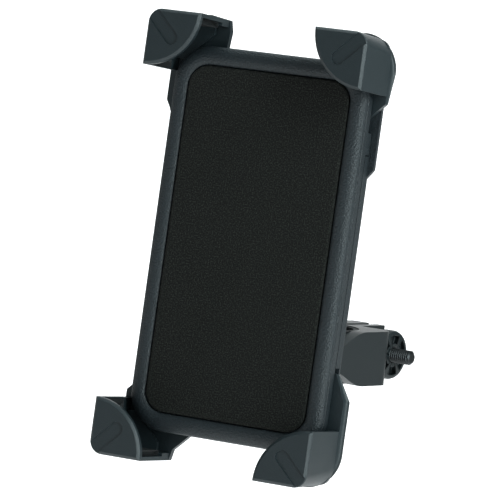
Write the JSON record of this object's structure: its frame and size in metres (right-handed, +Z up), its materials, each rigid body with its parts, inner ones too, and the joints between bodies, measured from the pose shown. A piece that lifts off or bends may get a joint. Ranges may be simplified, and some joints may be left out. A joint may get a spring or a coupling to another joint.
{
  "type": "phone handlebar mount",
  "caption": "Phone holder for a handlebar: a padded plate with sprung corner claws on a ball joint that a hinged, bolted clamp holds on the bar.",
  "frame": {"origin": "middle of the foam pad's front face, where the back of the phone rests", "axes": "+X to the right as the phone is read, +Y away from the phone towards the handlebar, +Z up along the phone"},
  "size_m": [0.074, 0.099, 0.1405],
  "materials": {
    "pad": "closed-cell foam sheet, matte, fine speckle",
    "cover": "moulded nylon, fine matte texture",
    "claw": "moulded nylon, satin",
    "rubber": "soft moulded rubber, matte",
    "clamp": "moulded nylon, satin",
    "nylon": "natural acetal, smooth",
    "black_steel": "black oxide",
    "zinc": "zinc plated",
    "spring": "drawn spring wire"
  },
  "bodies": {
    "clamp": {"clamp_body": "clamp", "bar_liner_left": "rubber", "clamp_bolt": "black_steel", "hinge_pin": "black_steel"},
    "jaw": {"clamp_jaw": "clamp", "bar_liner_right": "rubber"},
    "washer": {"clamp_washer": "zinc"},
    "knob": {"clamp_knob": "clamp", "knob_nut": "zinc"},
    "ball_ring": {"ball_ring": "nylon"},
    "ball_seat": {"ball_seat": "nylon"},
    "plate": {"front_cover": "cover", "back_cover": "cover", "foam_pad": "pad", "ball_socket": "cover", "cover_screw_1": "black_steel", "cover_screw_2": "black_steel", "cover_screw_3": "black_steel", "cover_screw_4": "black_steel", "cover_screw_5": "black_steel", "cover_screw_6": "black_steel", "socket_screw_1": "black_steel", "socket_screw_2": "black_steel", "socket_screw_3": "black_steel", "socket_screw_4": "black_steel", "claw_top_right_spring": "spring", "claw_top_left_spring": "spring", "claw_bottom_right_spring": "spring", "claw_bottom_left_spring": "spring"},
    "collar": {"collar_nut": "claw"},
    "lock": {"lock_slider": "cover", "lock_wedge": "nylon"},
    "claw_top_right": {"claw_top_right_cap": "claw", "claw_top_right_liner": "rubber", "claw_top_right_arm": "claw", "claw_top_right_screw": "black_steel"},
    "claw_top_left": {"claw_top_left_cap": "claw", "claw_top_left_liner": "rubber", "claw_top_left_arm": "claw", "claw_top_left_screw": "black_steel"},
    "claw_bottom_right": {"claw_bottom_right_cap": "claw", "claw_bottom_right_liner": "rubber", "claw_bottom_right_arm": "claw", "claw_bottom_right_screw": "black_steel"},
    "claw_bottom_left": {"claw_bottom_left_cap": "claw", "claw_bottom_left_liner": "rubber", "claw_bottom_left_arm": "claw", "claw_bottom_left_screw": "black_steel"}
  },
  "joints": [
    {"name": "washer_travel", "type": "slide", "parent": "clamp", "child": "washer", "axis": [0.9703, -0.2419, 0], "range_m": [-0.002, 0.003]},
    {"name": "knob_spin", "type": "hinge", "parent": "washer", "child": "knob", "pos_m": [0.014, 0.07614, -0.02895], "axis": [0.9703, -0.2419, 0], "range_deg": [-900, 1350]},
    {"name": "jaw_close", "type": "hinge", "parent": "clamp", "child": "jaw", "pos_m": [0.01829, 0.03137, -0.03192], "axis": [-0.0169, -0.0677, 0.9976], "range_deg": [-4.05, 2.7]},
    {"name": "plate_tilt", "type": "hinge", "parent": "clamp", "child": "ball_ring", "pos_m": [0, 0.02, -0.033], "axis": [0.9703, -0.2419, 0], "range_deg": [-16, 24]},
    {"name": "plate_pan", "type": "hinge", "parent": "ball_ring", "child": "ball_seat", "pos_m": [0, 0.02, -0.033], "axis": [0, 0, 1], "range_deg": [-34, 6]},
    {"name": "plate_swivel", "type": "hinge", "parent": "ball_seat", "child": "plate", "pos_m": [0, 0.02, -0.033], "axis": [0, 1, 0], "continuous": true},
    {"name": "collar_turn", "type": "hinge", "parent": "plate", "child": "collar", "pos_m": [0, 0.02, -0.033], "axis": [0, 1, 0], "range_deg": [0, 90]},
    {"name": "lock_slide", "type": "slide", "parent": "plate", "child": "lock", "axis": [0, 0, -1], "range_m": [0, 0.0014]},
    {"name": "claw_top_right_slide", "type": "slide", "parent": "plate", "child": "claw_top_right", "axis": [0.7071, 0, 0.7071], "range_m": [0, 0.016], "stiffness_N_per_m": 250, "springref_m": -0.008, "deforming": ["claw_top_right_spring"]},
    {"name": "claw_top_left_slide", "type": "slide", "parent": "plate", "child": "claw_top_left", "axis": [-0.7071, 0, 0.7071], "range_m": [0, 0.016], "stiffness_N_per_m": 250, "springref_m": -0.008, "deforming": ["claw_top_left_spring"]},
    {"name": "claw_bottom_right_slide", "type": "slide", "parent": "plate", "child": "claw_bottom_right", "axis": [0.7071, 0, -0.7071], "range_m": [0, 0.016], "stiffness_N_per_m": 250, "springref_m": -0.008, "deforming": ["claw_bottom_right_spring"]},
    {"name": "claw_bottom_left_slide", "type": "slide", "parent": "plate", "child": "claw_bottom_left", "axis": [-0.7071, 0, -0.7071], "range_m": [0, 0.016], "stiffness_N_per_m": 250, "springref_m": -0.008, "deforming": ["claw_bottom_left_spring"]}
  ],
  "couplings": [
    {"joint": "knob_spin", "follows": "washer_travel", "rad_per_m": 7853.9},
    {"joint": "jaw_close", "follows": "washer_travel", "rad_per_m": -23.53}
  ]
}
